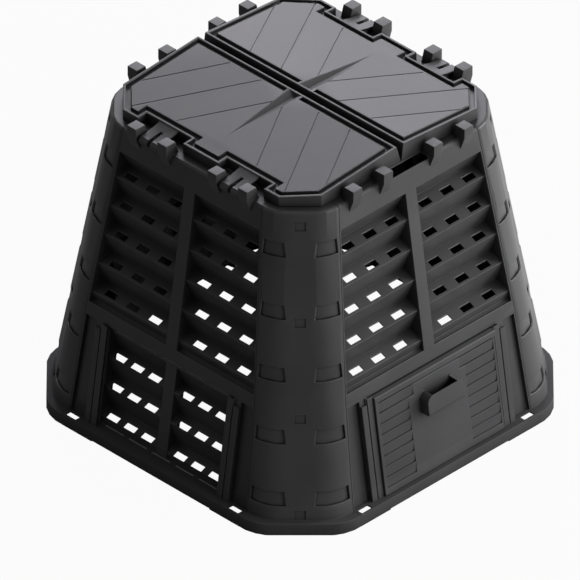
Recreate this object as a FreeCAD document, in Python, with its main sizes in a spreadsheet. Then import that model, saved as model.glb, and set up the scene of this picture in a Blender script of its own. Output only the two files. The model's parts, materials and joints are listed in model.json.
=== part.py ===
import FreeCAD, Part
import Sketcher
import math
import os

os.makedirs("parts", exist_ok=True)
doc = FreeCAD.newDocument("compost_bin")
sheet = doc.addObject("Spreadsheet::Sheet", "sizes")

# Lengths in mm. The bin stands on z = 0 with its middle on the z axis.
# Its sides lean inward, so many sizes are a foot value and a rate per mm of height.
sizes = {
    "skin": 4.0,
    "seam": 0.1,
    # how far a cutting body runs past the face that it cuts
    "past": 1.0,
    # base: four walls, a flat at 45 degrees on all corners, round bends between them
    "base_half": 466.5,
    "base_flat": 559.9,
    "base_round": 100.0,
    "ledge": 30.0,
    "foot_lift": 2.5,
    "foot_half": 184.0,
    "peg_across": 253.6,
    "peg_out": 453.7,
    "peg_long": 31.0,
    "peg_wide": 15.5,
    # leaning shell above the base
    "wall_foot": 447.0,
    "wall_rate": 0.1503,
    "flat_foot": 551.0,
    "flat_rate": 0.1843,
    "bend_round": 95.0,
    "rim": 755.0,
    "rim_edge": 4.0,
    "mouth_half": 285.0,
    "mouth_flat": 360.0,
    "hem": 18.0,
    # where wall and corner post meet, measured along the wall from its middle
    "edge_foot": 279.0,
    "edge_bend": 292.0,
    "edge_middle": 262.0,
    "edge_top": 214.5,
    "web": 3.6,
    # corner post, with the wall's side flange behind it
    "post_skin": 5.5,
    "lap_gap": 0.15,
    "lap_skin": 3.5,
    "slot_low": 63.0,
    "slot_pitch": 146.4,
    "slot_high": 34.0,
    "slot_strip": 8.0,
    "slot_turn": 33.0,
    "slot_ramp": 40.0,
    "slot_splay": 24.0,
    "tick_low": 32.0,
    "tick_pitch": 226.3,
    "tick_high": 21.0,
    "tick_half": 12.5,
    "tick_deep": 2.6,
    # louver fields of the upper wall
    "field_low": 309.0,
    "field_high": 697.0,
    "mullion_half": 16.4,
    "row_top": 638.0,
    "row_pitch": 74.6,
    "step_out": 4.0,
    "step_in": 38.0,
    "step_fall": 6.0,
    "step_rise": 9.3,
    "fold_lip": 1.5,
    "fold_over": 2.0,
    "fold_under": 3.0,
    "fold_last": 14.0,
    "shift_in": 4.2,
    "shift_down": 1.6,
    "cheek": 3.5,
    # holes in the louver ledges
    "hole_deep": 17.1,
    "hole_long": 33.0,
    "hole_wide": 15.0,
    "hole_reach": 9.0,
    "hole_pitch": 68.4,
    "hole_foot": 157.7,
    "hole_rate": 0.0589,
    # lower zone with rails and a blank or the hatch opening
    "zone_high": 276.0,
    "zone_deep": 9.0,
    "blank_low": 37.0,
    "blank_high": 262.0,
    "blank_half": 193.0,
    "low_row_top": 204.0,
    "low_step_fall": 3.6,
    "low_fold_last": 15.0,
    "low_hole_across": 104.7,
    "low_hole_pitch": 53.9,
    "slit_wide": 2.4,
    "slit_long": 56.0,
    "slit_pitch": 72.7,
    "slit_low": 32.0,
    "slit_high": 268.0,
    "opening_half": 180.0,
    "opening_low": 45.0,
    "opening_high": 262.0,
    "rail_near": 188.0,
    "rail_far": 223.0,
    "rail_out": 6.6,
    "rail_line": 205.0,
    "rail_line_wide": 2.4,
    "rail_line_deep": 3.0,
    "rail_step": 13.0,
    "tongue": 3.0,
    "tongue_gap": 0.15,
    "tongue_reach": 12.3,
    # sliding hatch door
    "door_lift": 0.1,
    "door_out": 12.0,
    "door_high": 275.0,
    "door_slope": 12.0,
    "door_skin": 3.0,
    "door_side_gap": 0.3,
    "door_border": 3.0,
    "door_dish": 0.8,
    "board_near": 88.0,
    "board_near_top": 72.0,
    "board_far": 178.0,
    "board_low": 45.8,
    "board_pitch": 26.35,
    "board_deep": 3.2,
    "board_gap": 2.0,
    "board_gap_deep": 4.6,
    "grip_low": 178.0,
    "grip_high": 226.0,
    "grip_half": 56.0,
    "grip_out": 38.0,
    "grip_skin": 3.0,
    "grip_round": 18.0,
    "grip_edge": 5.0,
    "grip_mouth": 39.0,
    "grip_dent": 2.5,
    "grip_dent_high": 231.0,
    # lugs on the wall top
    "lug_inner": 77.5,
    "lug_outer": 172.0,
    "lug_half": 14.0,
    "lug_top": 785.0,
    "lug_in": 321.0,
    "lug_out": 350.0,
    "lug_root_in": 311.0,
    "lug_face": 760.0,
    "lug_low": 728.0,
    "notch_half": 62.0,
    "notch_deep": 7.0,
    # hinge between two lugs
    "hinge_out": 335.0,
    "hinge_high": 757.0,
    "knuckle": 10.5,
    "knuckle_flat": 4.35,
    "knuckle_gap": 1.6,
    "finger_gap": 4.0,
    "finger_slot": 9.0,
    "pin": 4.0,
    "pin_gap": 0.06,
    "pin_long": 6.0,
    "pin_spare": 0.5,
    "arm_bend": 303.0,
    "arm_rise": 4.5,
    "arm_root": 2.0,
    "arm_thick": 6.0,
    # lid
    "lid_half": 307.5,
    "lid_leg": 66.0,
    "lid_rest": 0.1,
    "lid_top": 800.0,
    "lid_fall": 0.0709,
    "lid_notch": 281.0,
    "lid_notch_half": 69.5,
    "lid_rim": 6.5,
    "groove_wide": 11.5,
    "groove_deep": 9.0,
    "seam_top_left": 9.0,
    "seam_foot_left": -4.5,
    "seam_top_right": 11.0,
    "seam_foot_right": 5.5,
    "scoop_far": 219.0,
    "scoop_half": 18.0,
    "scoop_deep": 10.0,
    # engraved lines of the lid: across and along where they start and end
    "line_wide": 2.8,
    "line_deep": 1.2,
    "line_a_near": 72.0,
    "line_a_start": 16.0,
    "line_a_far": 258.0,
    "line_a_end": 124.0,
    "line_b_near": 31.0,
    "line_b_start": 89.0,
    "line_b_far": 285.0,
    "line_b_end": 237.0,
    "line_c_near": 32.0,
    "line_c_start": 186.0,
    "line_c_far": 205.0,
    "line_c_end": 286.0,
}
for row, (name, size) in enumerate(sizes.items(), start=1):
    sheet.set(f"A{row}", name)
    sheet.set(f"B{row}", str(size))
    sheet.setAlias(f"B{row}", name)
doc.recompute()

# Sketch directions: plan looks down, front shows x and z, side shows y and z.
VIEWS = {
    "plan": (FreeCAD.Rotation(), "z", (0, 0, 1)),
    "front": (FreeCAD.Rotation(FreeCAD.Vector(1, 0, 0), 90), "y", (0, 1, 0)),
    "side": (FreeCAD.Rotation(FreeCAD.Vector(1, 1, 1), 120), "x", (1, 0, 0)),
}


def words(text):
    """Puts the sheet's name before every size in a formula."""
    out = ""
    part = ""
    for letter in text + " ":
        if letter.isalnum() or letter == "_":
            part += letter
            continue
        out += f"sizes.{part}" if part in sizes else part
        out += letter
        part = ""
    return out.strip()


def value(text):
    """Works a formula out for the first drawing of a sketch."""
    answer = sheet.evalExpression(words(text).replace("sizes.", ""))
    return float(getattr(answer, "Value", answer))


def minus(text):
    return f"-({text})"


def place(item, x, y, z):
    for label, text in (("x", x), ("y", y), ("z", z)):
        item.setExpression(f"Placement.Base.{label}", words(text))


def sketch(name, view, points, at="0"):
    """Closed outline. A point is (across, up) or (across, up, radius), the radius
    bending the line that leaves it: to the left if positive, else to the right."""
    turn, axis, _ = VIEWS[view]
    item = doc.addObject("Sketcher::SketchObject", name)
    item.Placement = FreeCAD.Placement(FreeCAD.Vector(), turn)
    item.setExpression(f"Placement.Base.{axis}", words(at))
    spots = [FreeCAD.Vector(value(p[0]), value(p[1]), 0) for p in points]
    ends = []
    for index, point in enumerate(points):
        here = spots[index]
        there = spots[(index + 1) % len(points)]
        if len(point) == 2:
            item.addGeometry(Part.LineSegment(here, there), False)
            ends.append((1, 2))
            continue
        radius = value(point[2])
        half = (there - here) * 0.5
        rise = math.sqrt(max(radius * radius - half.Length ** 2, 0.0))
        side = FreeCAD.Vector(-half.y, half.x, 0).normalize() * rise
        middle = here + half + (side if radius > 0 else side * -1)
        first, last = (here, there) if radius > 0 else (there, here)
        start = math.atan2(first.y - middle.y, first.x - middle.x)
        stop = math.atan2(last.y - middle.y, last.x - middle.x)
        circle = Part.Circle(middle, FreeCAD.Vector(0, 0, 1), abs(radius))
        item.addGeometry(Part.ArcOfCircle(circle, start, stop), False)
        ends.append((1, 2) if radius > 0 else (2, 1))
    ties = []
    for index in range(len(points)):
        after = (index + 1) % len(points)
        ties.append(Sketcher.Constraint("Coincident", index, ends[index][1], after, ends[after][0]))
    item.addConstraint(ties)
    for index, point in enumerate(points):
        for kind, text, size in (
            ("DistanceX", point[0], spots[index].x),
            ("DistanceY", point[1], spots[index].y),
        ):
            number = item.addConstraint(
                Sketcher.Constraint(kind, -1, 1, index, ends[index][0], size)
            )
            item.setExpression(f"Constraints[{number}]", words(text))
        if len(point) == 3:
            size = abs(value(point[2]))
            number = item.addConstraint(Sketcher.Constraint("Radius", index, size))
            item.setExpression(f"Constraints[{number}]", words(f"abs({point[2]})"))
    return item


def extrude(name, view, points, start, length):
    """Solid from an outline; start and length run along the view's own axis."""
    item = doc.addObject("Part::Extrusion", name)
    item.Base = sketch(f"{name}_outline", view, points, start)
    item.DirMode = "Custom"
    item.Dir = VIEWS[view][2]
    item.Solid = True
    item.setExpression("LengthFwd", words(length))
    return item


def fuse(name, parts):
    item = doc.addObject("Part::MultiFuse", name)
    item.Shapes = parts
    return item


def common(name, parts):
    item = doc.addObject("Part::MultiCommon", name)
    item.Shapes = parts
    return item


def cut(name, base, tools):
    item = doc.addObject("Part::Cut", name)
    item.Base = base
    item.Tool = tools[0] if len(tools) == 1 else fuse(f"{name}_tools", tools)
    return item


def box(name, x, y, z, long, wide, high):
    item = doc.addObject("Part::Box", name)
    for label, text in (("Length", long), ("Width", wide), ("Height", high)):
        item.setExpression(label, words(text))
    place(item, x, y, z)
    return item


def rod(name, x, y, z, radius, long):
    """Round bar along x."""
    item = doc.addObject("Part::Cylinder", name)
    item.setExpression("Radius", words(radius))
    item.setExpression("Height", words(long))
    item.Placement.Rotation = FreeCAD.Rotation(FreeCAD.Vector(0, 1, 0), 90)
    place(item, x, y, z)
    return item


def mirror(name, source, normal):
    item = doc.addObject("Part::Mirroring", name)
    item.Source = source
    item.Normal = FreeCAD.Vector(*normal)
    return item


def turned(item, angle):
    item.Placement = FreeCAD.Placement(
        FreeCAD.Vector(), FreeCAD.Rotation(FreeCAD.Vector(0, 0, 1), angle)
    )
    return item


def wall_at(z, deep="0"):
    """Distance of the leaning wall from the middle, less a depth below its face."""
    return f"(wall_foot - wall_rate * ({z}) - ({deep}))"


def edge_at(z):
    """Half width of the upper wall at a height above the bend of its edge."""
    slope = "(edge_middle - edge_top) / (rim - edge_bend)"
    return f"(edge_middle - (({z}) - edge_bend) * {slope})"


def low_edge_at(z):
    slope = "(edge_foot - edge_middle) / edge_bend"
    return f"(edge_foot - ({z}) * {slope})"


def on_side(points):
    """Side view outline from (depth below the wall face, height) pairs."""
    return [(minus(wall_at(z, deep)), z) for deep, z in points]


def slab(name, x0, x1, z0, z1, deep0, deep1):
    """Block that leans with the wall."""
    points = on_side([(deep0, z0), (deep1, z0), (deep1, z1), (deep0, z1)])
    return extrude(name, "side", points, x0, f"({x1}) - ({x0})")


def slabs(name, near, far, z0, z1, deep0, deep1):
    """The same block on the left and on the right of the middle."""
    return [
        slab(f"{name}_left", minus(far), minus(near), z0, z1, deep0, deep1),
        slab(f"{name}_right", near, far, z0, z1, deep0, deep1),
    ]


def strip(name, margin):
    """Everything in front of the middle within the wall's half width plus a margin."""
    foot = f"edge_foot + ({margin})"
    middle = f"edge_middle + ({margin})"
    top = f"edge_top + ({margin})"
    points = [
        (minus(foot), "-ledge"),
        (foot, "-ledge"),
        (foot, "0"),
        (middle, "edge_bend"),
        (top, "rim"),
        (top, "lid_top"),
        (minus(top), "lid_top"),
        (minus(top), "rim"),
        (minus(middle), "edge_bend"),
        (minus(foot), "0"),
    ]
    return extrude(name, "front", points, "-base_flat", "base_flat")


# Wall: panel with base, recessed lower zone, rim flange and hem, seen from the side.
panel = extrude(
    "panel",
    "side",
    [
        ("-base_half", "0"),
        ("-base_half", "ledge"),
        (minus(wall_at("ledge", "zone_deep")), "ledge"),
        (minus(wall_at("zone_high", "zone_deep")), "zone_high"),
        (minus(wall_at("zone_high")), "zone_high"),
        (minus(wall_at("rim - rim_edge")), "rim - rim_edge"),
        (minus(wall_at("rim", "rim_edge")), "rim"),
        ("-mouth_half", "rim"),
        ("-mouth_half", "rim - hem"),
        ("-(mouth_half + skin)", "rim - hem"),
        ("-(mouth_half + skin)", "rim - skin"),
        (minus(wall_at("rim - skin", "skin")), "rim - skin"),
        (minus(wall_at("zone_high + skin", "skin")), "zone_high + skin"),
        (minus(wall_at("zone_high + skin", "zone_deep + skin")), "zone_high + skin"),
        (minus(wall_at("ledge - skin", "zone_deep + skin")), "ledge - skin"),
        ("-(base_half - skin)", "ledge - skin"),
        ("-(base_half - skin)", "0"),
    ],
    "-base_half",
    "2 * base_half",
)
wall_strip = strip("wall_strip", "-seam")
inner_strip = strip("inner_strip", "-seam - web")


def field_window(name, side):
    far_low = edge_at("field_low") + " - web"
    far_high = edge_at("field_high") + " - web"
    points = [
        (f"{side} * mullion_half", "field_low"),
        (f"{side} * ({far_low})", "field_low"),
        (f"{side} * ({far_high})", "field_high"),
        (f"{side} * mullion_half", "field_high"),
    ]
    return extrude(name, "front", points, "-base_half", "base_half")


windows = [field_window("window_left", "-1"), field_window("window_right", "1")]
open_panel = cut("open_panel", panel, windows)

# Front line of the louvers, (depth, height) from top to bottom.
upper_rows = [f"(row_top - {index} * row_pitch)" for index in range(5)]
upper_line = [("fold_lip", "field_high + fold_over")]
for row in upper_rows:
    upper_line.append(("step_in", f"{row} + step_rise"))
    upper_line.append(("step_out", f"{row} - step_fall"))
upper_line.append(("fold_last", "field_low + fold_over"))
upper_line.append(("fold_lip", "field_low - fold_under"))
lower_rows = [f"(low_row_top - {index} * row_pitch)" for index in range(3)]
lower_line = [("zone_deep + fold_lip", "blank_high + fold_over")]
for row in lower_rows:
    lower_line.append(("step_in", f"{row} + step_rise"))
    lower_line.append(("zone_deep", f"{row} - low_step_fall"))
lower_line.append(("low_fold_last", "blank_low + fold_over"))
lower_line.append(("zone_deep + fold_lip", "blank_low - fold_under"))


def shifted(points):
    return [(f"{deep} + shift_in", f"{z} - shift_down") for deep, z in points]


def louvers(name, line, reach, low, high):
    """Folded strip across both fields, left open behind the mullion."""
    points = on_side(line + shifted(line)[::-1])
    whole = extrude(f"{name}_whole", "side", points, minus(reach), f"2 * ({reach})")
    half = "(mullion_half - cheek)"
    gap = box(
        f"{name}_gap",
        minus(half),
        "-base_half",
        f"{low} - 3 * skin",
        f"2 * {half}",
        "base_half",
        f"{high} - {low} + 6 * skin",
    )
    return cut(name, whole, [gap])


def plate(line):
    """Side view of the plates that close the ends of the louvers."""
    deep = "step_in + shift_in"
    return on_side([line[0], (deep, line[1][1]), (deep, line[-2][1]), line[-1]])


def cheeks(name, line, near, far):
    points = plate(line)
    both = []
    for side, start in (("left", minus(far)), ("right", near)):
        both.append(extrude(f"{name}_{side}", "side", points, start, f"{far} - ({near})"))
    return both


upper_louvers = louvers("upper_louvers", upper_line, "edge_foot", "field_low", "field_high")
inner_cheeks = cheeks("inner_cheek", upper_line, "mullion_half - cheek", "mullion_half")
outer_block = extrude("outer_block", "side", plate(upper_line), "-edge_foot", "2 * edge_foot")
lap_face = "(post_skin + lap_gap)"
lap_back = "(post_skin + lap_gap + lap_skin)"
web_points = on_side(
    [
        ("0", "ledge - skin"),
        (lap_back, "ledge - skin"),
        (lap_back, "rim - skin"),
        ("0", "rim - skin"),
    ]
)
web_block = extrude("web_block", "side", web_points, "-edge_foot", "2 * edge_foot")
webs = cut("webs", fuse("web_whole", [outer_block, web_block]), [inner_strip])

# Lugs on the rim. On the left and right walls they carry the lid's pins.
lug_points = [
    ("-lug_root_in", "rim - skin"),
    ("-lug_in", "lug_top"),
    ("-lug_out", "lug_top"),
    ("-lug_out", "lug_face"),
    (minus(wall_at("lug_low")), "lug_low"),
    (minus(wall_at("lug_low", "skin / 2")), "lug_low"),
    (minus(wall_at("rim - skin", "skin / 2")), "rim - skin"),
]
lugs = []
for index, middle in enumerate(("-lug_outer", "-lug_inner", "lug_inner", "lug_outer")):
    lugs.append(extrude(f"lug_{index}", "side", lug_points, f"{middle} - lug_half", "2 * lug_half"))

hinge_middle = "(lug_inner + lug_outer) / 2"
hinge_room = "((lug_outer - lug_inner) / 2 - lug_half)"
socket_reach = f"({hinge_room} + pin_long + pin_spare)"
hinge_cuts = []
for side, sign in (("left", "-1"), ("right", "1")):
    middle = f"{sign} * {hinge_middle}"
    hinge_cuts.append(
        box(
            f"knuckle_room_{side}",
            f"{middle} - {hinge_room}",
            "-hinge_out - knuckle - knuckle_gap",
            "hinge_high - knuckle - knuckle_gap",
            f"2 * {hinge_room}",
            "2 * (knuckle + knuckle_gap)",
            "2 * (knuckle + knuckle_gap)",
        )
    )
    hinge_cuts.append(
        rod(
            f"socket_{side}",
            f"{middle} - {socket_reach}",
            "-hinge_out",
            "hinge_high",
            "pin + pin_gap",
            f"2 * {socket_reach}",
        )
    )


# Holes in the louver ledges, peg holes in the base, and the relieved foot.
def ledge_hole(name, x, z):
    return box(
        name,
        f"{x} - hole_long / 2",
        f"-{wall_at(z, 'hole_deep')} - hole_wide / 2",
        f"{z} - hole_reach",
        "hole_long",
        "hole_wide",
        "2 * hole_reach",
    )


upper_holes = []
for level, row in enumerate(upper_rows):
    for side in (-1, 1):
        for spot in (-1, 0, 1):
            across = f"{side} * (hole_foot - hole_rate * {row}) + {spot} * hole_pitch"
            name = f"upper_hole_{level}_{side + 1}_{spot + 1}"
            upper_holes.append(ledge_hole(name, across, row))
lower_holes = []
for level, row in enumerate(lower_rows):
    for side in (-1, 1):
        for spot in (-1, 0, 1):
            across = f"{side} * low_hole_across + {spot} * low_hole_pitch"
            name = f"lower_hole_{level}_{side + 1}_{spot + 1}"
            lower_holes.append(ledge_hole(name, across, row))
pegs = []
for side, sign in (("left", "-1"), ("right", "1")):
    pegs.append(
        box(
            f"peg_hole_{side}",
            f"{sign} * peg_across - peg_long / 2",
            "-peg_out - peg_wide / 2",
            "ledge - 2 * skin",
            "peg_long",
            "peg_wide",
            "3 * skin",
        )
    )
foot_cut = box(
    "foot_cut",
    "-foot_half",
    "-base_half - past",
    "-past",
    "2 * foot_half",
    "2 * skin",
    "foot_lift + past",
)

# Rails on both sides of the lower zone, slotted for the door's tongues.
rails = slabs(
    "rail", "rail_near", "rail_far", "ledge - past", "zone_high + past", "-rail_out",
    "zone_deep + past",
)
rail_cuts = slabs(
    "rail_slot", "rail_near - past", "rail_near + tongue_reach + door_side_gap", "ledge",
    "zone_high + 2 * past", "-(tongue + 2 * tongue_gap)", "0",
)
rail_cuts += slabs(
    "rail_groove", "rail_line", "rail_line + rail_line_wide", "ledge",
    "zone_high + 2 * past", "-rail_out - past", "-rail_out + rail_line_deep",
)
rail_cuts += slabs(
    "rail_top", "rail_line + rail_line_wide", "rail_far + past", "zone_high - rail_step",
    "zone_high + 2 * past", "-rail_out - past", "0",
)
cut_rails = cut("cut_rails", fuse("whole_rails", rails), rail_cuts)


# Corners: three leaning planes, with the bends between them cut in flat steps.
def leaning(name, plane, deep, z0, z1, angle):
    """Everything behind a plane; the plane is (distance at the foot, rate)."""
    foot, rate = plane
    points = [
        (f"-({foot} - {rate} * ({z0}) - ({deep}))", z0),
        ("0", z0),
        ("0", z1),
        (f"-({foot} - {rate} * ({z1}) - ({deep}))", z1),
    ]
    return turned(extrude(name, "side", points, "-base_flat", "2 * base_flat"), angle)


def corner(name, wall, flat, deep, z0, z1, bend, steps=1):
    """Filled front left corner; its two bends follow a radius in flat steps."""
    planes = [(wall, 0), (wall, -90), (flat, -45)]
    for step in range(1, steps + 1):
        turn = 45 * step / (steps + 1)
        near = f"(sin({45 - turn} deg) / sin(45 deg))"
        far = f"(sin({turn} deg) / sin(45 deg))"
        foot = f"({near} * ({wall[0]} - {bend}) + {far} * ({flat[0]} - {bend}) + {bend})"
        rate = f"({near} * {wall[1]} + {far} * {flat[1]})"
        planes += [((foot, rate), -turn), ((foot, rate), turn - 90)]
    parts = []
    for index, (plane, angle) in enumerate(planes):
        parts.append(leaning(f"{name}_plane_{index}", plane, deep, z0, z1, angle))
    return common(name, parts)


def rim_edges(item):
    """Numbers of the outer edges round the top."""
    doc.recompute()
    top = max(vertex.Z for vertex in item.Shape.Vertexes)
    side = -value("skin")
    found = []
    for number, edge in enumerate(item.Shape.Edges, start=1):
        spots = [vertex.Point for vertex in edge.Vertexes]
        outside = any(spot.x < side for spot in spots) and any(spot.y < side for spot in spots)
        if outside and min(spot.z for spot in spots) > top - value("past"):
            found.append(number)
    return found


def diagonal_side(name, gap):
    """Everything on the front wall's side of the corner diagonal, by a gap."""
    points = [
        (f"sqrt(2) * ({gap})", "0"),
        (f"sqrt(2) * ({gap}) - base_flat", "-base_flat"),
        ("0", "-base_flat"),
    ]
    return extrude(name, "plan", points, "0", "lid_top")


wall_plane = ("wall_foot", "wall_rate")
flat_plane = ("flat_foot", "flat_rate")
# planes that make up each bend on the outside
outer_steps = 2

# Laps: side flanges of the wall that reach behind the corner posts.
lap_outer = corner(
    "lap_outer", wall_plane, flat_plane, lap_face, "ledge + skin", "rim - 2 * skin", "bend_round"
)
lap_inner = corner(
    "lap_inner", wall_plane, flat_plane, lap_back, "ledge", "rim - skin", "bend_round"
)
lap_half = common("lap_half", [lap_outer, diagonal_side("lap_side", "slot_turn / 2")])
lap_left = cut("lap_left", lap_half, [lap_inner, inner_strip])
lap_right = mirror("lap_right", lap_left, (1, 0, 0))

wall_parts = fuse(
    "wall_parts", [open_panel, upper_louvers, webs, cut_rails] + inner_cheeks + lugs
)
wall_whole = common("wall_whole", [wall_parts, wall_strip])
wall_laps = fuse("wall_laps", [wall_whole, lap_left, lap_right])
wall_blank = cut("wall_blank", wall_laps, upper_holes + pegs + [foot_cut])

# Front and back walls are cut lower between their middle lugs.
notch = box(
    "notch",
    "-notch_half",
    "-wall_foot",
    "rim - notch_deep",
    "2 * notch_half",
    "wall_foot - lid_half - past",
    "notch_deep + past",
)
opening = slab(
    "opening",
    "-opening_half",
    "opening_half",
    "opening_low",
    "opening_high",
    "zone_deep - past",
    "zone_deep + skin + past",
)
cut("wall_front", wall_blank, [opening, notch])

# The other walls keep the opening closed by a louvered knock-out blank.
blank_windows = slabs(
    "blank_window",
    "mullion_half",
    "blank_half",
    "blank_low",
    "blank_high",
    "zone_deep - past",
    "zone_deep + skin + past",
)
blank_louvers = louvers(
    "blank_louvers", lower_line, "(blank_half + cheek)", "blank_low", "blank_high"
)
blank_cheeks = cheeks("blank_cheek", lower_line, "mullion_half - cheek", "mullion_half")
blank_cheeks += cheeks("blank_end", lower_line, "blank_half", "blank_half + cheek")
slits = []
for index in range(-2, 3):
    middle = f"{index} * slit_pitch"
    for name, z in (("top", "slit_high"), ("foot", "slit_low")):
        slits.append(
            slab(
                f"slit_{name}_{index + 2}",
                f"{middle} - slit_long / 2",
                f"{middle} + slit_long / 2",
                z,
                f"{z} + slit_wide",
                "zone_deep - past",
                "zone_deep + skin + past",
            )
        )
blank_wall = cut("blank_wall", wall_blank, blank_windows)
blank_parts = fuse("blank_parts", [blank_wall, blank_louvers] + blank_cheeks)
for name, angle, tools in (
    ("wall_left", -90, hinge_cuts),
    ("wall_back", 180, [notch]),
    ("wall_right", 90, hinge_cuts),
):
    turned(cut(name, blank_parts, lower_holes + slits + tools), angle)

# Corner post: shell with window slots, closed top, base with ledge.
post_block = corner(
    "post_block", wall_plane, flat_plane, "0", "ledge - skin", "rim", "bend_round", outer_steps
)
post_outer = doc.addObject("Part::Chamfer", "post_outer")
post_outer.Base = post_block
cut_back = value("rim_edge")
post_outer.Edges = [(number, cut_back, cut_back) for number in rim_edges(post_block)]
cavity = corner(
    "cavity", wall_plane, flat_plane, "post_skin", "ledge - 3 * skin", "rim - skin", "bend_round"
)

base_plane = ("base_half", "0")
base_flat_plane = ("base_flat", "0")
base_outer = corner(
    "base_outer", base_plane, base_flat_plane, "0", "0", "ledge", "base_round", outer_steps
)
base_inner = corner(
    "base_inner", base_plane, base_flat_plane, "skin", "-skin", "ledge - skin", "base_round"
)

slots = []
for index in range(5):
    low = f"(slot_low + {index} * slot_pitch)"
    at = f"({low} + slot_high / 2)"
    edge = low_edge_at(at) if index < 2 else edge_at(at)
    near = f"({edge} + slot_strip)"
    flat = f"(flat_foot - flat_rate * {at})"
    ends = []
    for run in ("slot_ramp", "-slot_ramp"):
        aside = f"(slot_turn - slot_splay * ({run}) / slot_ramp)"
        ends.append(
            (f"-({flat} + {run} - {aside}) / sqrt(2)", f"-({flat} + {run} + {aside}) / sqrt(2)")
        )
    front_points = [(minus(near), "-base_flat"), (minus(near), ends[1][1]), ends[1], ends[0]]
    side_points = [(b, a) for a, b in front_points][::-1]
    slots.append(extrude(f"slot_front_{index}", "plan", front_points, low, "slot_high"))
    slots.append(extrude(f"slot_side_{index}", "plan", side_points, low, "slot_high"))

ticks = []
for index in range(4):
    low = f"(tick_low + {index} * tick_pitch)"
    high = f"({low} + tick_high)"
    points = []
    for z, deep in ((low, "-past"), (low, "tick_deep"), (high, "tick_deep"), (high, "-past")):
        points.append((f"-(flat_foot - flat_rate * {z} - ({deep}))", z))
    ticks.append(
        turned(extrude(f"tick_{index}", "side", points, "-tick_half", "2 * tick_half"), -45)
    )
mouth = extrude(
    "mouth",
    "plan",
    [
        ("0", "0"),
        ("-mouth_half", "0"),
        ("-mouth_half", "-(sqrt(2) * mouth_flat - mouth_half)"),
        ("-(sqrt(2) * mouth_flat - mouth_half)", "-mouth_half"),
        ("0", "-mouth_half"),
    ],
    "rim - 3 * skin",
    "6 * skin",
)
front_side = strip("front_side", "0")
left_side = turned(strip("left_side", "0"), -90)

post_shell = cut("post_shell", post_outer, [cavity])
post_foot = cut("post_foot", base_outer, [base_inner, cavity])
post_body = fuse("post_body", [post_shell, post_foot])
post_tools = fuse("post_tools", slots + ticks + [mouth, front_side, left_side])
for name, angle in (
    ("corner_post_front_left", 0),
    ("corner_post_front_right", 90),
    ("corner_post_back_right", 180),
    ("corner_post_back_left", -90),
):
    turned(cut(name, post_body, [post_tools]), angle)

# Hatch door: dished panel with two blocks of lapped boards, side tongues and a grip.
door_low = "(ledge + door_lift)"
door_half = "(rail_near - door_side_gap)"
tongue_half = "(rail_near + tongue_reach)"
door_points = on_side(
    [
        ("-tongue_gap", door_low),
        ("-door_out", door_low),
        ("-door_out", "door_high - door_slope"),
        ("-tongue - tongue_gap", "door_high"),
        ("-tongue_gap", "door_high"),
    ]
)
door_main = extrude("door_main", "side", door_points, minus(door_half), f"2 * {door_half}")
tongues = slab(
    "tongues",
    minus(tongue_half),
    tongue_half,
    door_low,
    "door_high",
    "-(tongue + tongue_gap)",
    "-tongue_gap",
)
door_back = "(door_out - board_gap_deep - door_skin / 2)"
door_room = slab(
    "door_room",
    f"-({door_half} - door_skin)",
    f"{door_half} - door_skin",
    f"{door_low} + door_skin",
    "door_high - door_slope",
    minus(door_back),
    "past",
)
dish = slab(
    "dish",
    f"-({door_half} - door_border)",
    f"{door_half} - door_border",
    f"{door_low} + door_border",
    "door_high - door_slope - door_border",
    "-door_out - past",
    "-door_out + door_dish",
)
board_top = "(board_low + 8 * board_pitch)"
board_cuts = [
    slab(
        "top_gap",
        "-board_far",
        "board_far",
        board_top,
        f"{board_top} + board_gap",
        "-door_out - past",
        "-door_out + board_gap_deep",
    )
]
for index in range(8):
    low = f"(board_low + {index} * board_pitch)"
    near = "board_near_top" if index == 7 else "board_near"
    board_points = on_side(
        [
            ("-door_out - past", low),
            ("-door_out + board_gap_deep", low),
            ("-door_out + board_gap_deep", f"{low} + board_gap"),
            ("-door_out + board_deep", f"{low} + board_gap"),
            ("-door_out + door_dish", f"{low} + board_pitch"),
            ("-door_out - past", f"{low} + board_pitch"),
        ]
    )
    for side, start in (("left", "-board_far"), ("right", near)):
        name = f"board_{side}_{index}"
        board_cuts.append(extrude(name, "side", board_points, start, f"board_far - {near}"))


def hood(name, inset, low):
    """Front view of the grip: square foot, round shoulders."""
    half = f"(grip_half - ({inset}))"
    high = f"(grip_high - ({inset}))"
    radius = f"(grip_round - ({inset}))"
    points = [
        (minus(half), low),
        (half, low),
        (half, f"{high} - {radius}", radius),
        (f"{half} - {radius}", high),
        (f"-({half} - {radius})", high, radius),
        (minus(half), f"{high} - {radius}"),
    ]
    return extrude(name, "front", points, "-base_half", "base_half")


def grip_side(name, skin, foot):
    """Side view of the grip between the door and its outer face, less a skin."""
    points = on_side(
        [
            (f"-grip_out + {skin}", "grip_dent_high"),
            (f"-grip_out + {skin}", "grip_low + grip_edge"),
            (f"-grip_out + grip_edge + {skin}", foot),
            ("-door_out + door_dish + past", foot),
            ("-door_out + door_dish + past", "grip_dent_high"),
        ]
    )
    return extrude(name, "side", points, "-grip_half - past", "2 * (grip_half + past)")


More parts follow.
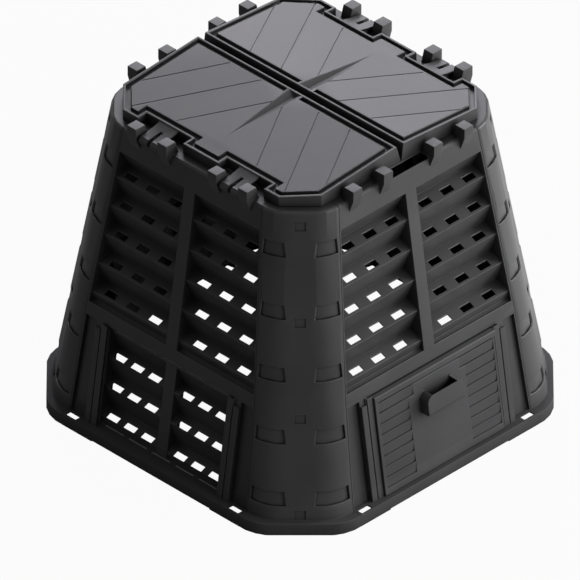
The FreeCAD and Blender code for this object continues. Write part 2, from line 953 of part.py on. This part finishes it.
grip = common("grip", [hood("hood", "0", "grip_low"), grip_side("grip_side", "0", "grip_low")])
grip_low_in = "(grip_low + grip_skin)"
grip_room = common(
    "grip_room",
    [
        hood("hood_room", "grip_skin", grip_low_in),
        slab(
            "grip_room_side",
            "-grip_half",
            "grip_half",
            grip_low_in,
            "grip_high",
            "-grip_out + grip_skin",
            "-door_out + grip_dent",
        ),
    ],
)
grip_mouth = slab(
    "grip_mouth",
    "-grip_mouth",
    "grip_mouth",
    "grip_high - grip_round",
    "grip_dent_high",
    "-grip_out + grip_skin",
    "-door_out + grip_dent",
)
door_shell = cut("door_shell", fuse("door_whole", [door_main, tongues]), [door_room, dish] + board_cuts)
cut("hatch_door", fuse("door_grip", [door_shell, grip]), [grip_room, grip_mouth])


# Lid leaves. The gable falls from the seam to both hinge sides.
def lid_height(across, deep="0"):
    return f"(lid_top - lid_fall * (({across}) - seam_top_left) - ({deep}))"


def leaf_outline(inset, seam_side):
    """Left leaf seen from above, drawn in by an inset, notched round the hinges."""
    side = f"(lid_half - ({inset}))"
    leg = f"(lid_half - lid_leg - tan(22.5 deg) * ({inset}))"
    cheek_in = f"({hinge_middle} - lid_notch_half - ({inset}))"
    cheek_out = f"({hinge_middle} + lid_notch_half + ({inset}))"
    deep = f"(lid_notch - ({inset}))"
    half = [
        (minus(side), cheek_in),
        (minus(deep), cheek_in),
        (minus(deep), cheek_out),
        (minus(side), cheek_out),
        (minus(side), leg),
        (minus(leg), side),
        (seam_side, side),
    ]
    return [(x, minus(y)) for x, y in half[::-1]] + half


def band(name, top, bottom):
    """Gabled layer of the lid between two depths below its top."""
    points = [
        ("-base_half", lid_height("base_half", bottom)),
        ("lid_leg", lid_height("-lid_leg", bottom)),
        ("lid_leg", lid_height("-lid_leg", top)),
        ("-base_half", lid_height("base_half", top)),
    ]
    return extrude(name, "front", points, "-base_half", "2 * base_half")


def valley(name, near, extra):
    """V-shaped body whose foot rises from the seam to the lid's top, lowered by an extra."""
    low = lid_height(near, f"scoop_deep + ({extra})")
    half = "2 * scoop_half"
    points = [
        ("0", low),
        (half, f"{low} + 2 * scoop_deep"),
        (minus(half), f"{low} + 2 * scoop_deep"),
    ]
    item = extrude(name, "side", points, minus(near), "scoop_far")
    item.setExpression("LengthFwd", None)
    item.LengthFwd = 0
    run = f"(scoop_far - {near})"
    for axis, text in (("x", minus(run)), ("z", f"scoop_deep - lid_fall * {run}")):
        item.setExpression(f"Dir.{axis}", words(text))
    return item


def engraved(name, key):
    """Engraved line of the lid and its mirror image, seen from above."""
    near, start, far, end = [f"line_{key}_{part}" for part in ("near", "start", "far", "end")]
    points = [
        (minus(near), f"{start} - line_wide / 2"),
        (minus(near), f"{start} + line_wide / 2"),
        (minus(far), f"{end} + line_wide / 2"),
        (minus(far), f"{end} - line_wide / 2"),
    ]
    other = [(x, minus(y)) for x, y in points]
    return [
        extrude(f"{name}_{key}", "plan", points, "rim", "lid_top"),
        extrude(f"{name}_{key}_mirrored", "plan", other, "rim", "lid_top"),
    ]


def eight(half, flat):
    """Eight-sided outline round the hinge line, from the upper inner corner round the outside."""
    return [
        (f"-hinge_out + {flat}", f"hinge_high + {half}"),
        (f"-hinge_out - {flat}", f"hinge_high + {half}"),
        (f"-hinge_out - {half}", f"hinge_high + {flat}"),
        (f"-hinge_out - {half}", f"hinge_high - {flat}"),
        (f"-hinge_out - {flat}", f"hinge_high - {half}"),
        (f"-hinge_out + {flat}", f"hinge_high - {half}"),
        (f"-hinge_out + {half}", f"hinge_high - {flat}"),
        (f"-hinge_out + {half}", f"hinge_high + {flat}"),
    ]


def make_leaf(name, seam_top, seam_foot, angle):
    key = name.split("_")[1]
    rest = "rim + lid_rest"
    block = extrude(f"{key}_block", "plan", leaf_outline("0", "lid_leg"), rest, "lid_top")
    profile = [
        ("-base_half", rest),
        (minus(seam_foot), rest),
        (minus(seam_top), lid_height(seam_top)),
        ("-base_half", lid_height("base_half")),
    ]
    side = extrude(f"{key}_profile", "front", profile, "-base_half", "2 * base_half")
    whole = common(f"{key}_whole", [block, side])
    ring_deep = "groove_deep + skin"
    low = extrude(f"{key}_low", "plan", leaf_outline("skin", "lid_leg"), "rim - skin", "lid_top")
    low_profile = [
        ("-base_half", "rim - skin"),
        (f"-({seam_foot}) - skin", "rim - skin"),
        (f"-({seam_top}) - skin - past", lid_height(f"{seam_top} + skin", ring_deep)),
        ("-base_half", lid_height("base_half", ring_deep)),
    ]
    low_side = extrude(
        f"{key}_low_profile", "front", low_profile, "-base_half", "2 * base_half"
    )
    low_room = common(f"{key}_low_room", [low, low_side])
    inset = "lid_rim + groove_wide + skin"
    field = extrude(
        f"{key}_field", "plan", leaf_outline(inset, f"-({seam_top}) - ({inset})"), rest, "lid_top"
    )
    under = band(f"{key}_under", "skin", f"{ring_deep} + past")
    field_room = common(f"{key}_field_room", [field, under])
    ring_out = extrude(
        f"{key}_ring_out", "plan", leaf_outline("lid_rim", f"-({seam_top}) - lid_rim"), rest,
        "lid_top",
    )
    ring_in = extrude(
        f"{key}_ring_in",
        "plan",
        leaf_outline("lid_rim + groove_wide", f"-({seam_top}) - lid_rim - groove_wide"),
        "rim",
        "2 * lid_top",
    )
    ring = cut(f"{key}_ring", ring_out, [ring_in])
    layer = band(f"{key}_layer", "-skin", "groove_deep")
    groove = common(f"{key}_groove", [ring, layer])
    scoop_near = f"({seam_top} + lid_rim)"
    scoop = valley(f"{key}_scoop", scoop_near, "0")
    body_band = band(f"{key}_body_band", "0", "2 * groove_deep")
    boss = common(f"{key}_boss", [valley(f"{key}_bed", scoop_near, "skin"), body_band])
    lines = []
    for letter in "abc":
        lines += engraved(f"{key}_line", letter)
    line_band = band(f"{key}_line_band", "-skin", "line_deep")
    line_cut = common(f"{key}_line_cut", [fuse(f"{key}_lines", lines), line_band])
    root = lid_height("lid_notch", "arm_root")
    bend = "(hinge_high + knuckle + arm_rise)"
    knuckle_points = eight("knuckle", "knuckle_flat")
    arm_points = [
        ("-(lid_notch - skin / 2)", root),
        ("-arm_bend", bend),
    ]
    arm_points += knuckle_points[:-1]
    arm_points += [
        ("-hinge_out + knuckle", f"{bend} - arm_thick - arm_rise / 2"),
        ("-arm_bend", f"{bend} - arm_thick"),
        ("-(lid_notch - skin / 2)", f"{root} - arm_thick"),
    ]
    arms = []
    gaps = []
    pin_reach = f"({hinge_room} + pin_long)"
    arm_half = f"({hinge_room} - finger_gap)"
    for side, sign in (("front", "-1"), ("back", "1")):
        middle = f"{sign} * {hinge_middle}"
        start = f"{middle} - {arm_half}"
        arms.append(extrude(f"{key}_arm_{side}", "front", arm_points, start, f"2 * {arm_half}"))
        start = f"{middle} - {pin_reach}"
        pin_points = eight("pin * cos(22.5 deg)", "pin * sin(22.5 deg)")
        arms.append(extrude(f"{key}_pin_{side}", "front", pin_points, start, f"2 * {pin_reach}"))
        gaps.append(
            box(
                f"{key}_gap_{side}",
                "-hinge_out - knuckle - past",
                f"{middle} - finger_slot / 2",
                "hinge_high - knuckle - past",
                "hinge_out - arm_bend + knuckle + past",
                "finger_slot",
                "2 * knuckle + 2 * arm_rise",
            )
        )
    hollow = cut(f"{key}_hollow", whole, [low_room, field_room, groove])
    body = fuse(f"{key}_body", [hollow, boss] + arms)
    turned(cut(name, body, [scoop, line_cut] + gaps), angle)


make_leaf("lid_left", "seam_top_left", "seam_foot_left", 0)
make_leaf("lid_right", "seam_top_right", "seam_foot_right", 180)


nodes = [
    "wall_front",
    "wall_left",
    "wall_back",
    "wall_right",
    "corner_post_front_left",
    "corner_post_front_right",
    "corner_post_back_left",
    "corner_post_back_right",
    "lid_left",
    "lid_right",
    "hatch_door",
]
doc.recompute()
for item in doc.Objects:
    if "Invalid" in item.State or "Error" in item.State:
        raise SystemExit(f"{item.Name} did not build: {item.State}")
for name in nodes:
    item = doc.getObject(name)
    item.Label = name
    if item.Shape.isNull() or not item.Shape.isValid():
        raise SystemExit(f"{name} has no sound shape")
    print(name, len(item.Shape.Solids), round(item.Shape.Volume / 1000), item.Shape.BoundBox)
    item.Shape.exportStep(f"parts/{name}.step")
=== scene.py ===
import bpy
import bmesh
import json
import math
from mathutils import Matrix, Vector


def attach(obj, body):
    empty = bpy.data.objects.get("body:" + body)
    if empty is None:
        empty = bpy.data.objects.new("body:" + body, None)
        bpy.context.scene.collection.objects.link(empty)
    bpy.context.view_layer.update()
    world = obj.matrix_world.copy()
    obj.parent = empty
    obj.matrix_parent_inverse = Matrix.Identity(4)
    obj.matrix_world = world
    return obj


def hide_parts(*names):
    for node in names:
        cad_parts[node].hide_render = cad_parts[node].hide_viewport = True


print("compost bin: loading the frame")
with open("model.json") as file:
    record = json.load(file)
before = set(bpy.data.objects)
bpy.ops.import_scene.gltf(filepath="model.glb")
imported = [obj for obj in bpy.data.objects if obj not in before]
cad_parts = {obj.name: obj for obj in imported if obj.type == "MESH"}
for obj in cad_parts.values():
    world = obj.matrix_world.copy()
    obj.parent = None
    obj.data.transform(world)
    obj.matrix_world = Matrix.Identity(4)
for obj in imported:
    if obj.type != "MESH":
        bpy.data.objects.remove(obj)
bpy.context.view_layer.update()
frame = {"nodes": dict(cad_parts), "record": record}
bpy.ops.object.select_all(action="DESELECT")
nodes = frame["nodes"]
record = frame["record"]

# looks of the moulded plastic, lengths in metres; stops are the ends of a colour ramp
plasticLook = {
    "colour": (0.058, 0.058, 0.06, 1),
    "paleColour": (0.072, 0.072, 0.075, 1),
    "cloudScale": 7.0,
    "cloudDetail": 6,
    "cloudStops": (0.35, 0.68),
    # pale edge colour: wear and a painted highlight on rounded edges
    "edgeColour": (0.13, 0.13, 0.134, 1),
    "edgeReach": 0.0022,
    "edgeStops": (0.8, 0.98),
    "outerStops": (0.86, 0.98),
    # painted shade: grooves and small steps, and wider recesses, are darkened in the colour
    "grooveShade": 0.3,
    "grooveReach": 0.007,
    "grooveStops": (0.55, 0.96),
    "recessShade": 0.3,
    "recessReach": 0.055,
    "recessStops": (0.25, 0.9),
    "roughness": 0.42,
    "roughSpread": 0.08,
    "footRoughness": 0.8,
    "footHeight": (0.052, 0.07),
    "specular": 0.5,
    "fineDetail": 2,
    "grainScale": 900.0,
    "grainDepth": 0.00012,
    "grainStrength": 0.6,
    "waveScale": 9.0,
    "waveDepth": 0.0005,
    "waveStrength": 0.5,
}
lidLook = dict(plasticLook, roughness=0.4)
# walls with a blank: slits at two heights, with painted light on the faces inside
blankLook = dict(
    plasticLook,
    slitLines=(0.0332, 0.2692),
    slitReach=0.0016,
    slitFacing=0.55,
    # colour of the painted light inside the slits
    slitColour=(0.55, 0.55, 0.56, 1),
)
white = (1, 1, 1, 1)
black = (0, 0, 0, 1)
mixSockets = {"first": 6, "second": 7, "result": 2}  # colour sockets of a Mix node


def grey(level):
    return (level, level, level, 1)


def link(tree, source, output, target, socket):
    tree.links.new(source.outputs[output], target.inputs[socket])


def splitAxes(tree, source, output):
    axes = tree.nodes.new("ShaderNodeSeparateXYZ")
    link(tree, source, output, axes, 0)
    return axes


def reckon(tree, operation, *terms):
    # a Math node, where each term is a number or a node with its output
    step = tree.nodes.new("ShaderNodeMath")
    step.operation = operation
    for socket, term in enumerate(terms):
        if isinstance(term, tuple):
            link(tree, *term, step, socket)
        else:
            step.inputs[socket].default_value = term
    return step


def ranged(tree, source, output, start, end):
    step = tree.nodes.new("ShaderNodeMapRange")
    for socket, value in zip(("From Min", "From Max", "To Min", "To Max"), start + end):
        step.inputs[socket].default_value = value
    link(tree, source, output, step, "Value")
    return step


def noise(tree, place, scale, detail):
    pattern = tree.nodes.new("ShaderNodeTexNoise")
    pattern.inputs["Scale"].default_value = scale
    pattern.inputs["Detail"].default_value = detail
    link(tree, place, "Object", pattern, "Vector")
    return pattern


def ramp(tree, source, output, stops, colours):
    tone = tree.nodes.new("ShaderNodeValToRGB")
    for element, position, colour in zip(tone.color_ramp.elements, stops, colours):
        element.position = position
        element.color = colour
    link(tree, source, output, tone, "Fac")
    return tone


def blendColours(tree, mode, first, firstOutput, second, secondOutput):
    mix = tree.nodes.new("ShaderNodeMix")
    mix.data_type = "RGBA"
    mix.blend_type = mode
    mix.inputs["Factor"].default_value = 1
    link(tree, first, firstOutput, mix, mixSockets["first"])
    link(tree, second, secondOutput, mix, mixSockets["second"])
    return mix


def tinted(tree, share, shareOutput, base, baseOutput, tint):
    mix = tree.nodes.new("ShaderNodeMix")
    mix.data_type = "RGBA"
    link(tree, share, shareOutput, mix, "Factor")
    link(tree, base, baseOutput, mix, mixSockets["first"])
    mix.inputs[mixSockets["second"]].default_value = tint
    return mix


def nearness(tree, reach):
    shade = tree.nodes.new("ShaderNodeAmbientOcclusion")
    shade.inputs["Distance"].default_value = reach
    return shade


def relief(tree, pattern, distance, strength, before=None):
    bump = tree.nodes.new("ShaderNodeBump")
    bump.inputs["Distance"].default_value = distance
    bump.inputs["Strength"].default_value = strength
    link(tree, pattern, "Fac", bump, "Height")
    if before:
        link(tree, before, "Normal", bump, "Normal")
    return bump


def paintedSlitLight(tree, look, place, shape, colour):
    # painted light: the upward and downward faces inside the slits round the blank are painted
    # pale, as if lit
    height = splitAxes(tree, place, "Object")
    facing = splitAxes(tree, shape, "Normal")
    low, high = [
        reckon(tree, "COMPARE", (height, "Z"), middle, look["slitReach"])
        for middle in look["slitLines"]
    ]
    both = reckon(tree, "ADD", (low, 0), (high, 0))
    flat = reckon(tree, "ABSOLUTE", (facing, "Z"))
    level = reckon(tree, "GREATER_THAN", (flat, 0), look["slitFacing"])
    slitLightMask = reckon(tree, "MULTIPLY", (both, 0), (level, 0))
    return tinted(tree, slitLightMask, 0, colour, mixSockets["result"], look["slitColour"])


def plasticColour(tree, look, place, clouds):
    # clouded, with painted shade in its recesses, and a little paler at edges for wear and a
    # painted highlight together
    result = mixSockets["result"]
    tone = ramp(tree, clouds, "Fac", look["cloudStops"], (look["colour"], look["paleColour"]))
    # an edge is where a rounded normal leaves the true one
    rounded = tree.nodes.new("ShaderNodeBevel")
    rounded.inputs["Radius"].default_value = look["edgeReach"]
    shape = tree.nodes.new("ShaderNodeNewGeometry")
    match = tree.nodes.new("ShaderNodeVectorMath")
    match.operation = "DOT_PRODUCT"
    link(tree, rounded, "Normal", match, 0)
    link(tree, shape, "Normal", match, 1)
    # edge mask for wear and a painted highlight
    rubbedAndHighlitEdges = ramp(tree, match, "Value", look["edgeStops"], (white, black))
    # painted shade darkens small steps and grooves, and only an outer edge gets the pale edge
    # colour of wear and painted highlight
    near = nearness(tree, look["grooveReach"])
    groove = ramp(tree, near, "AO", look["grooveStops"], (grey(look["grooveShade"]), white))
    outer = ramp(tree, near, "AO", look["outerStops"], (black, white))
    wornAndHighlitEdges = blendColours(tree, "MULTIPLY", rubbedAndHighlitEdges, "Color", outer, "Color")
    pale = tinted(tree, wornAndHighlitEdges, result, tone, "Color", look["edgeColour"])
    # painted shade in wider recesses and under ledges
    wide = nearness(tree, look["recessReach"])
    recess = ramp(tree, wide, "AO", look["recessStops"], (grey(look["recessShade"]), white))
    shaded = blendColours(tree, "DARKEN", recess, "Color", groove, "Color")
    colour = blendColours(tree, "MULTIPLY", pale, result, shaded, result)
    if "slitLines" in look:
        colour = paintedSlitLight(tree, look, place, shape, colour)
    return colour


def plasticRoughness(tree, look, place, clouds):
    # the clouds shine unevenly, and the foot that stands on the ground is duller
    half = look["roughSpread"] / 2
    spread = (look["roughness"] - half, look["roughness"] + half)
    rough = ranged(tree, clouds, "Fac", (0, 1), spread)
    height = splitAxes(tree, place, "Object")
    foot = ranged(tree, height, "Z", look["footHeight"], (look["footRoughness"], 0))
    return reckon(tree, "MAXIMUM", (rough, "Result"), (foot, "Result"))


def mouldedPlastic(name, look):
    mat = bpy.data.materials.new(name)
    mat.use_nodes = True
    tree = mat.node_tree
    shader = tree.nodes["Principled BSDF"]
    shader.inputs["Specular IOR Level"].default_value = look["specular"]
    place = tree.nodes.new("ShaderNodeTexCoord")
    clouds = noise(tree, place, look["cloudScale"], look["cloudDetail"])
    colour = plasticColour(tree, look, place, clouds)
    link(tree, colour, mixSockets["result"], shader, "Base Color")
    link(tree, plasticRoughness(tree, look, place, clouds), 0, shader, "Roughness")
    # grain from the mould, and faint sink waves
    grain = noise(tree, place, look["grainScale"], look["fineDetail"])
    sink = noise(tree, place, look["waveScale"], look["fineDetail"])
    fine = relief(tree, grain, look["grainDepth"], look["grainStrength"])
    broad = relief(tree, sink, look["waveDepth"], look["waveStrength"], fine)
    link(tree, broad, "Normal", shader, "Normal")
    return mat


print("compost bin: finishes")
wallPlastic = mouldedPlastic("wallPlastic", plasticLook)
blankWallPlastic = mouldedPlastic("blankWallPlastic", blankLook)
postPlastic = mouldedPlastic("postPlastic", plasticLook)
lidPlastic = mouldedPlastic("lidPlastic", lidLook)
hatchPlastic = mouldedPlastic("hatchPlastic", plasticLook)
blankWalls = ("wall_left", "wall_back", "wall_right")
finishOf = {"wall": wallPlastic, "corner": postPlastic, "lid": lidPlastic, "hatch": hatchPlastic}

# every moulding is shown as a copy of its node with small rounded edges
moulding = {
    "weld": 0.00001,
    "edgeAngle": 25.0,
    "smoothAngle": 32.0,
    "sliver": 0.0004,
    "share": 0.42,
    "segments": 2,
    "radius": {"wall": 0.0012, "corner": 0.0018, "lid": 0.0018, "hatch": 0.0016},
}
# the door's front runs up square to its top edge, along the way it slides
doorTop = {
    "height": 0.263,
    "reach": 0.0005,
    "front": -0.419,
    "rise": 0.0096,
    "way": (0, 0.14863, 0.98889),
}


def weighEdges(mesh, radius):
    # sharp edges are rounded, with a smaller radius where short edges leave little room
    work = bmesh.new()
    work.from_mesh(mesh)
    weight = work.edges.layers.float.new("bevel_weight_edge")
    room = {}
    for point in work.verts:
        near = [edge.calc_length() for edge in point.link_edges]
        room[point] = min([length for length in near if length > moulding["sliver"]] or [0])
    for edge in work.edges:
        if edge.calc_face_angle(0) > math.radians(moulding["edgeAngle"]):
            free = moulding["share"] * min(room[point] for point in edge.verts)
            edge[weight] = min(1, free / radius)
    work.to_mesh(mesh)
    work.free()


def squareDoorTop(mesh):
    for point in mesh.vertices:
        level = abs(point.co.z - doorTop["height"]) < doorTop["reach"]
        if level and point.co.y < doorTop["front"]:
            point.co += Vector(doorTop["way"]) * doorTop["rise"]


def softened(name):
    words = name.split("_")
    kind = words[0]
    radius = moulding["radius"][kind]
    title = kind + "".join(word.capitalize() for word in words[1:]) + "Moulding"
    piece = bpy.data.objects.new(title, nodes[name].data.copy())
    bpy.context.scene.collection.objects.link(piece)
    bpy.context.view_layer.objects.active = piece
    piece.select_set(True)
    bpy.ops.object.mode_set(mode="EDIT")
    bpy.ops.mesh.select_all(action="SELECT")
    bpy.ops.mesh.remove_doubles(threshold=moulding["weld"])
    bpy.ops.object.mode_set(mode="OBJECT")
    if kind == "hatch":
        squareDoorTop(piece.data)
    weighEdges(piece.data, radius)
    bevel = piece.modifiers.new("roundedEdges", "BEVEL")
    bevel.width = radius
    bevel.segments = moulding["segments"]
    bevel.limit_method = "WEIGHT"
    bevel.use_clamp_overlap = False
    bpy.ops.object.modifier_apply(modifier="roundedEdges")
    bpy.ops.object.shade_smooth_by_angle(angle=math.radians(moulding["smoothAngle"]))
    normals = piece.modifiers.new("flatFaces", "WEIGHTED_NORMAL")
    normals.keep_sharp = True
    bpy.ops.object.modifier_apply(modifier="flatFaces")
    piece.data.materials.clear()
    piece.data.materials.append(blankWallPlastic if name in blankWalls else finishOf[kind])
    piece.select_set(False)
    return piece


print("compost bin: mouldings")
bodyOf = {name: body for body, names in record["behaviour"]["bodies"].items() for name in names}
for name in sorted(nodes):
    piece = softened(name)
    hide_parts(name)
    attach(piece, bodyOf[name])

# studio: pale floor, a soft key from the right, a broad panel behind the bin for the lid's sheen
studio = {
    "floorHalf": 30.0,
    "floorWhite": 0.35,
    "floorRoughness": 0.9,
    "brightFloor": {"X": (0.4, 0.8), "Y": (-1.3, -0.7)},
    "glow": 0.955,
    "sky": 0.1,
    "mirrorSky": 0.22,
    "aim": (0, 0, 0.45),
    "lamps": [
        ("keyLamp", (3.2, -2.2, 1.3), 2.1, (1, 1, 1), 106),
        ("highLamp", (2.4, -2.4, 2.9), 3.0, (1, 1, 1), 33),
        ("frontLamp", (0.4, -4.0, 1.5), 1.8, (1, 1, 1), 46),
        ("panelLamp", (2.7, 2.7, 2.3), 2.4, (0.95, 0.93, 1), 69),
        ("backLamp", (2.0, 1.6, 3.8), 2.0, (0.95, 0.93, 1), 21),
    ],
}


def makeFloor():
    bpy.ops.mesh.primitive_plane_add(size=2 * studio["floorHalf"], location=(0, 0, 0))
    floor = bpy.context.object
    floor.name = "studioFloor"
    mat = bpy.data.materials.new("floorPaper")
    mat.use_nodes = True
    tree = mat.node_tree
    paper = tree.nodes["Principled BSDF"]
    paper.inputs["Base Color"].default_value = grey(studio["floorWhite"])
    paper.inputs["Roughness"].default_value = studio["floorRoughness"]
    glow = tree.nodes.new("ShaderNodeEmission")
    path = tree.nodes.new("ShaderNodeLightPath")
    place = tree.nodes.new("ShaderNodeTexCoord")
    # the right hand floor is bright, and gloss on the bin shows that
    axes = splitAxes(tree, place, "Object")
    bright = (path, "Is Glossy Ray")
    for axis, edge in studio["brightFloor"].items():
        fade = ranged(tree, axes, axis, edge, (0, 1))
        bright = (reckon(tree, "MULTIPLY", (fade, "Result"), bright), 0)
    share = reckon(tree, "MULTIPLY_ADD", (path, "Is Camera Ray"), studio["glow"], bright)
    mix = tree.nodes.new("ShaderNodeMixShader")
    link(tree, share, 0, mix, "Fac")
    link(tree, paper, "BSDF", mix, 1)
    link(tree, glow, "Emission", mix, 2)
    link(tree, mix, "Shader", tree.nodes["Material Output"], "Surface")
    floor.data.materials.append(mat)


def makeLamps():
    aim = Vector(studio["aim"])
    for name, place, size, tint, power in studio["lamps"]:
        data = bpy.data.lights.new(name, "AREA")
        data.size = size
        data.color = tint
        data.energy = power
        lamp = bpy.data.objects.new(name, data)
        lamp.location = place
        lamp.rotation_euler = (aim - Vector(place)).to_track_quat("-Z", "Y").to_euler()
        bpy.context.scene.collection.objects.link(lamp)


def makeSky():
    world = bpy.data.worlds.new("studioSky")
    bpy.context.scene.world = world
    world.use_nodes = True
    tree = world.node_tree
    back = tree.nodes["Background"]
    back.inputs["Color"].default_value = white
    path = tree.nodes.new("ShaderNodeLightPath")
    # gloss sees a little more of the pale room than dull surfaces do
    level = ranged(tree, path, "Is Camera Ray", (0, 1), (studio["sky"], 1))
    terms = ((path, "Is Glossy Ray"), studio["mirrorSky"], (level, "Result"))
    link(tree, reckon(tree, "MULTIPLY_ADD", *terms), 0, back, "Strength")


print("compost bin: studio")
makeFloor()
makeLamps()
makeSky()

# the photograph shows no perspective, so the camera stands far off with a long lens
cameraView = {
    "azimuth": -45.0,
    "elevation": 34.5,
    "lens": 1400.0,
    "sensor": 36,
    "nearest": 1,
    "farthest": 200,
    "pixelsPerMetre": 452.6,
    "frame": 580,
    "middle": (300.0, 389.9),
}


def makeCamera():
    data = bpy.data.cameras.new("photoCamera")
    data.lens = cameraView["lens"]
    data.sensor_width = cameraView["sensor"]
    data.clip_start = cameraView["nearest"]
    data.clip_end = cameraView["farthest"]
    camera = bpy.data.objects.new("photoCamera", data)
    turn = math.radians(cameraView["azimuth"])
    tilt = math.radians(cameraView["elevation"])
    flat = math.cos(tilt)
    back = Vector((math.sin(turn) * flat, -math.cos(turn) * flat, math.sin(tilt)))
    right = Vector((math.cos(turn), math.sin(turn), 0))
    up = back.cross(right)
    scale = cameraView["pixelsPerMetre"]
    half = cameraView["frame"] / 2
    aim = right * ((half - cameraView["middle"][0]) / scale)
    aim += up * ((cameraView["middle"][1] - half) / scale)
    away = half / scale / (data.sensor_width / 2 / data.lens)
    camera.location = aim + back * away
    camera.rotation_euler = (-back).to_track_quat("-Z", "Y").to_euler()
    bpy.context.scene.collection.objects.link(camera)
    bpy.context.scene.camera = camera


makeCamera()
bpy.context.scene.view_settings.view_transform = "Standard"

print("compost bin: done")
